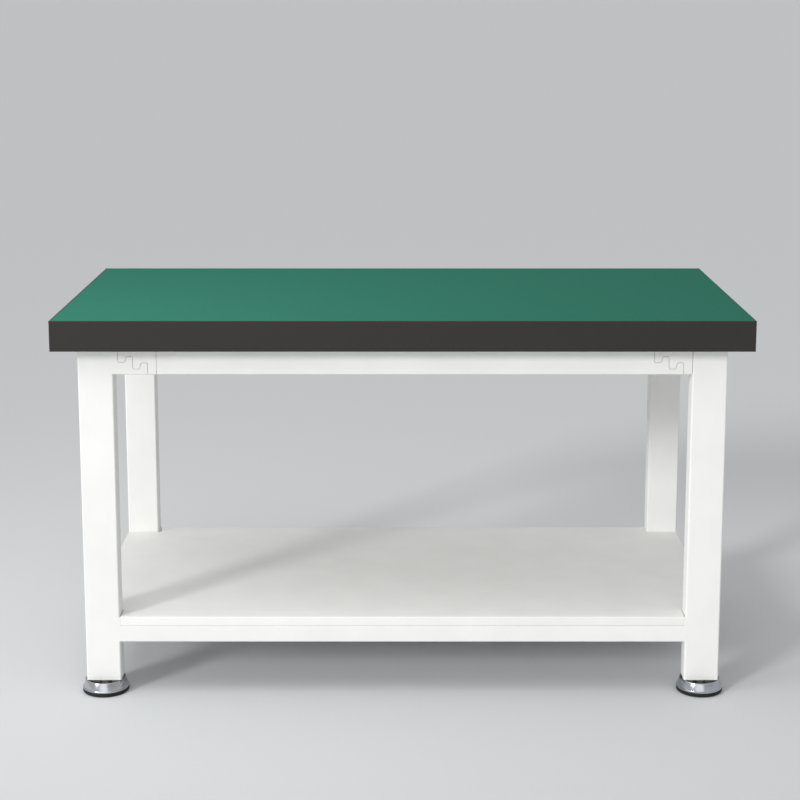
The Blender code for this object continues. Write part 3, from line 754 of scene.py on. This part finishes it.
def build_shelf(finishes):
    """A folded sheet: rounded bends along its lips and a fine hem under them."""
    low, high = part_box("shelf_panel")
    outline = round_corners(shelf_outline(low, high), SHELF_CORNER)
    hem = [
        (SHELF_SHEET, low[2] + SHELF_HEM),
        (SHELF_SHEET - SHELF_HEM, low[2]),
        (SHELF_HEM, low[2]),
        (0, low[2] + SHELF_HEM),
    ]
    bend = (SHELF_BEND, high[2] - SHELF_BEND)
    profile = arc(bend, SHELF_BEND - SHELF_SHEET, 90, 180) + hem + arc(bend, SHELF_BEND, 180, 90)
    rings = []
    for inset, height in profile:
        rings.append([(point.x, point.y, height) for point in inset_outline(outline, inset)])
    work = bmesh.new()
    loft(work, rings)
    mesh = finish_mesh(work, "folded_shelf")
    add_piece(mesh.name, mesh, finishes["frame"], "frame", replaced=["shelf_panel"])


# Welds


def add_bead(work, start, stop, first, second):
    """A rippled fillet along an inner corner, between two walls that leave it in these directions."""
    length = (stop - start).length
    along = (stop - start).normalized()
    count = round(length / BEAD_STEP)
    rings = []
    for step in range(count + 1):
        distance = length * step / count
        ripple = abs(math.sin(math.pi * distance / BEAD_RIPPLE))
        near_end = min(distance, length - distance)
        taper = min(1, BEAD_END_SHARE + near_end / BEAD_END)
        radius = BEAD_RADIUS * (1 - BEAD_SWELL + BEAD_SWELL * ripple) * taper
        centre = start + along * distance
        ring = [centre - BEAD_SINK * (first + second)]
        for across, up in arc((0, 0), radius, 0, 90):
            sink = BEAD_SINK * (1 - across / radius) * (1 - up / radius)
            ring.append(centre + (across - sink) * first + (up - sink) * second)
        rings.append(ring)
    loft(work, rings)


def add_ground_weld(work, corner, along, inward, low, high):
    """A weld ground level with the face, in the groove between a leg's round corner and a rail's end."""
    outline = (
        (-LEG_CORNER - WELD_REACH / 2, 2 * WELD_CROWN),
        (-LEG_CORNER / 2, -WELD_CROWN),
        (0, -WELD_CROWN),
        (WELD_REACH, 2 * WELD_CROWN),
        (WELD_REACH, LEG_CORNER),
        (-WELD_REACH / 2, LEG_CORNER),
    )
    rings = []
    for height in (low, high):
        base = Vector((corner[0], corner[1], height))
        rings.append([base + across * along + depth * inward for across, depth in outline])
    loft(work, rings)


def rail_joints(corner):
    """Each rail at a leg: its node, the way along it from the leg and the way in from its face."""
    end, side = corner.split("_")
    inward_x = Vector((1 if side == "left" else -1, 0, 0))
    inward_y = Vector((0, 1 if end == "front" else -1, 0))
    return (
        (f"lower_rail_{end}", inward_x, inward_y),
        (f"lower_rail_{side}", inward_y, inward_x),
        (f"upper_rail_{side}", inward_y, inward_x),
        (f"{end}_left_socket" if side == "left" else f"{end}_right_hook", inward_x, inward_y),
    )


def far_point(box, way):
    """How far a box reaches along a direction."""
    return max(box[0].dot(way), box[1].dot(way))


def build_welds(finishes):
    """Ground welds on the outer faces, and beads on the sides that face the middle of the bench."""
    shelf_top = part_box("shelf_panel")[1][2]
    for corner in FOOT_CORNERS:
        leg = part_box(f"leg_{corner}")
        beads = bmesh.new()
        ground = bmesh.new()
        for node, along, inward in rail_joints(corner):
            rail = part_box(node)
            low = rail[0][2]
            high = rail[1][2]
            leg_face = far_point(leg, along) * along
            outer = leg_face - far_point(rail, -inward) * inward
            inner = leg_face + far_point(rail, inward) * inward
            start = inner + (low + BEAD_RADIUS) * UP
            stop = inner + (high - BEAD_RADIUS) * UP
            add_bead(beads, start, stop, along, inward)
            if not node.endswith(("socket", "hook")):
                start = outer + LEG_CORNER * inward + low * UP
                stop = inner - BEAD_RADIUS * inward + low * UP
                add_bead(beads, start, stop, along, -UP)
            if not node.endswith("hook"):
                top = shelf_top if node.startswith("lower") else high
                add_ground_weld(ground, outer, along, inward, low + WELD_REACH, top - WELD_REACH)
        for name, work in (("weld_beads", beads), ("ground_welds", ground)):
            mesh = finish_mesh(work, f"{name}_{corner}")
            add_piece(mesh.name, mesh, finishes["frame"], "frame")


# Stage


def build_floor():
    """A matt floor, which looks as bright from every side."""
    finish = Finish("pale_floor", specular=0.0)
    finish.colour(finish.noise(size=0.004), FLOOR_GREYS)
    work = bmesh.new()
    corners = [(-1, -1), (1, -1), (1, 1), (-1, 1)]
    work.faces.new([work.verts.new((x * FLOOR_HALF, y * FLOOR_HALF, 0)) for x, y in corners])
    floor = bpy.data.objects.new("floor", finish_mesh(work, "floor"))
    floor.data.materials.append(finish.material)
    bpy.context.scene.collection.objects.link(floor)


def front_left(azimuth, elevation):
    """The direction from the bench at an angle to the left of the user's side and an angle up."""
    level = math.cos(elevation)
    return Vector((-math.sin(azimuth) * level, -math.cos(azimuth) * level, math.sin(elevation)))


def build_surround():
    """A pale studio, as bright as the floor at the horizon, with a glow that the camera does not see."""
    world = bpy.data.worlds.new("studio_surround")
    world.use_nodes = True
    nodes = world.node_tree.nodes
    links = world.node_tree.links
    way = nodes.new("ShaderNodeTexCoord").outputs["Generated"]

    def along(direction):
        """How far the way that is looked along goes in a direction."""
        node = nodes.new("ShaderNodeVectorMath")
        node.operation = "DOT_PRODUCT"
        node.inputs[1].default_value = direction
        links.new(way, node.inputs[0])
        return node.outputs["Value"]

    def smooth_rise(source, start, full, gain):
        """From nothing where the source is at its start to the whole gain where it is full."""
        node = nodes.new("ShaderNodeMapRange")
        node.interpolation_type = "SMOOTHSTEP"
        node.inputs["From Min"].default_value = start
        node.inputs["From Max"].default_value = full
        node.inputs["To Max"].default_value = gain
        links.new(source, node.inputs["Value"])
        return node.outputs["Result"]

    def combine(operation, source, other):
        """Two sources, or a source and a plain number, through one sum."""
        node = nodes.new("ShaderNodeMath")
        node.operation = operation
        for socket, value in zip(node.inputs, (source, other)):
            if isinstance(value, float):
                socket.default_value = value
            else:
                links.new(value, socket)
        return node.outputs["Value"]

    level = combine("ADD", along(SURROUND_TOP_GAIN * UP), SURROUND_LEVEL)
    horizon = smooth_rise(along(-UP), -math.sin(HORIZON_FADE), 0, HORIZON_GAIN)
    facing_glow = along(front_left(GLOW_AZIMUTH, GLOW_ELEVATION))
    glow = smooth_rise(facing_glow, math.cos(GLOW_EDGE), math.cos(GLOW_CORE), GLOW_GAIN)
    seen_directly = nodes.new("ShaderNodeLightPath").outputs["Is Camera Ray"]
    hidden_glow = combine("MULTIPLY", glow, combine("SUBTRACT", 1.0, seen_directly))
    plain = combine("ADD", level, horizon)
    background = nodes["Background"]
    links.new(combine("ADD", plain, hidden_glow), background.inputs["Strength"])
    background.inputs["Color"].default_value = (1, 1, 1, 1)
    bpy.context.scene.world = world


def add_lamp(lamp, away, place=(0, 0, 0)):
    """A lamp that shines against a direction, out of the camera's sight. A sun's place has no effect."""
    light = bpy.data.objects.new(lamp.name, lamp)
    light.location = place
    light.rotation_euler = away.to_track_quat("Z", "Y").to_euler()
    light.visible_camera = False
    bpy.context.scene.collection.objects.link(light)


def build_lamps():
    key = bpy.data.lights.new("key", "SUN")
    key.energy = KEY_STRENGTH
    key.angle = KEY_SPREAD
    add_lamp(key, front_left(KEY_AZIMUTH, KEY_ELEVATION))
    softbox = bpy.data.lights.new("softbox", "AREA")
    softbox.shape = "SQUARE"
    softbox.size = SOFTBOX_SIZE
    softbox.energy = SOFTBOX_POWER
    add_lamp(softbox, Vector(SOFTBOX_PLACE) - Vector(SOFTBOX_TARGET), SOFTBOX_PLACE)


def build_camera():
    lens = bpy.data.cameras.new("photo_camera")
    lens.sensor_width = SENSOR_WIDTH
    lens.lens = FOCAL_PIXELS / IMAGE_SIZE * SENSOR_WIDTH
    lens.shift_x = 0.5 - PRINCIPAL_POINT[0] / IMAGE_SIZE
    lens.shift_y = PRINCIPAL_POINT[1] / IMAGE_SIZE - 0.5
    lens.clip_end = 4 * FLOOR_HALF
    camera = bpy.data.objects.new("photo_camera", lens)
    camera.location = CAMERA_PLACE
    camera.rotation_euler = (math.pi / 2 - CAMERA_PITCH, 0, 0)
    bpy.context.scene.collection.objects.link(camera)
    bpy.context.scene.camera = camera


def main():
    finishes = make_finishes()
    dress_nodes(finishes)
    build_feet(finishes)
    build_screws(finishes)
    build_ground_point(finishes)
    build_shelf(finishes)
    build_welds(finishes)
    build_floor()
    build_surround()
    build_lamps()
    build_camera()
    bpy.context.scene.view_settings.view_transform = "Standard"


main()
